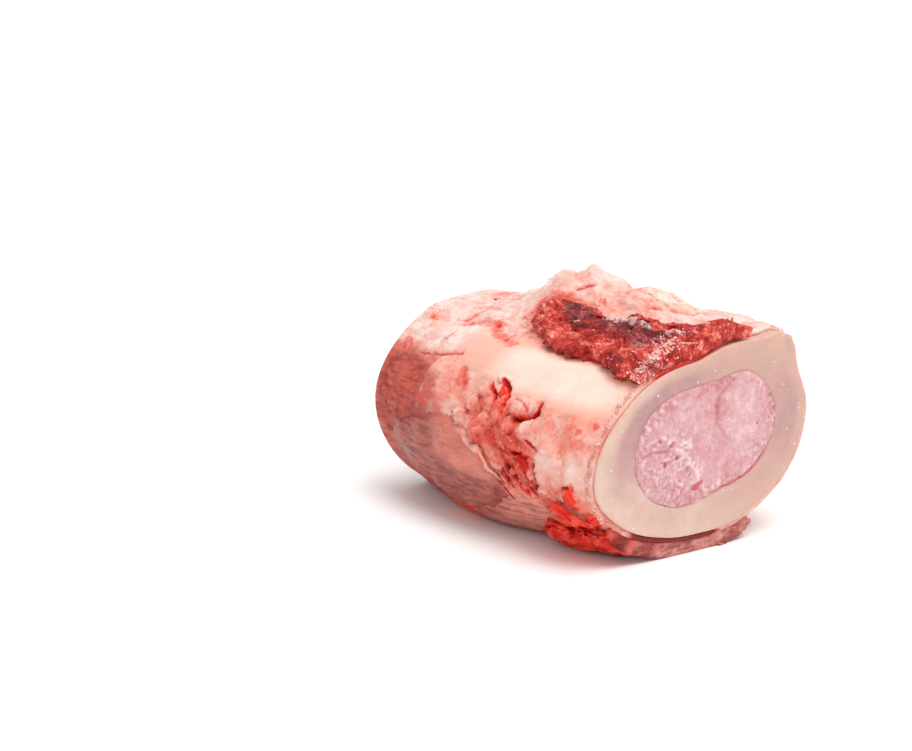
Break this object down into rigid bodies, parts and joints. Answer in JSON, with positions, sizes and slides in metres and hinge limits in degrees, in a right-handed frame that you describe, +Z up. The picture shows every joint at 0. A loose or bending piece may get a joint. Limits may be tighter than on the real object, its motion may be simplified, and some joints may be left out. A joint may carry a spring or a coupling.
{
  "type": "raw beef shank bone",
  "caption": "Raw beef shank bone, sawn square at both ends and lying on its side, with marrow, a cover of fat and sinew, and scraps of red muscle",
  "frame": {"origin": "centre of the bounding box's base, on the surface that the bone lies on", "axes": "+X along the bone towards the front cut, +Y away from the side with the cream ridge, +Z up"},
  "size_m": [0.088, 0.0706, 0.0597],
  "materials": {
    "bone": "sawn bone, smooth and slightly waxy, cream with a grey-mauve inner rim",
    "marrow": "sawn marrow, pink, moist and finely granular with pale crumbs",
    "fat": "raw fat and membrane, cream to salmon pink, wet gloss",
    "muscle": "raw red muscle, dark and frosty on top, wet gloss",
    "sinew": "thin silvery pink sheet, wet gloss",
    "tendon": "pale yellow cream tendon, wet gloss"
  },
  "bodies": {
    "root": {"bone": "bone", "marrow": "marrow", "fat_cover": "fat", "top_muscle": "muscle", "lower_muscle": "muscle", "sinew_sheet": "sinew", "tendon": "tendon"}
  },
  "joints": []
}
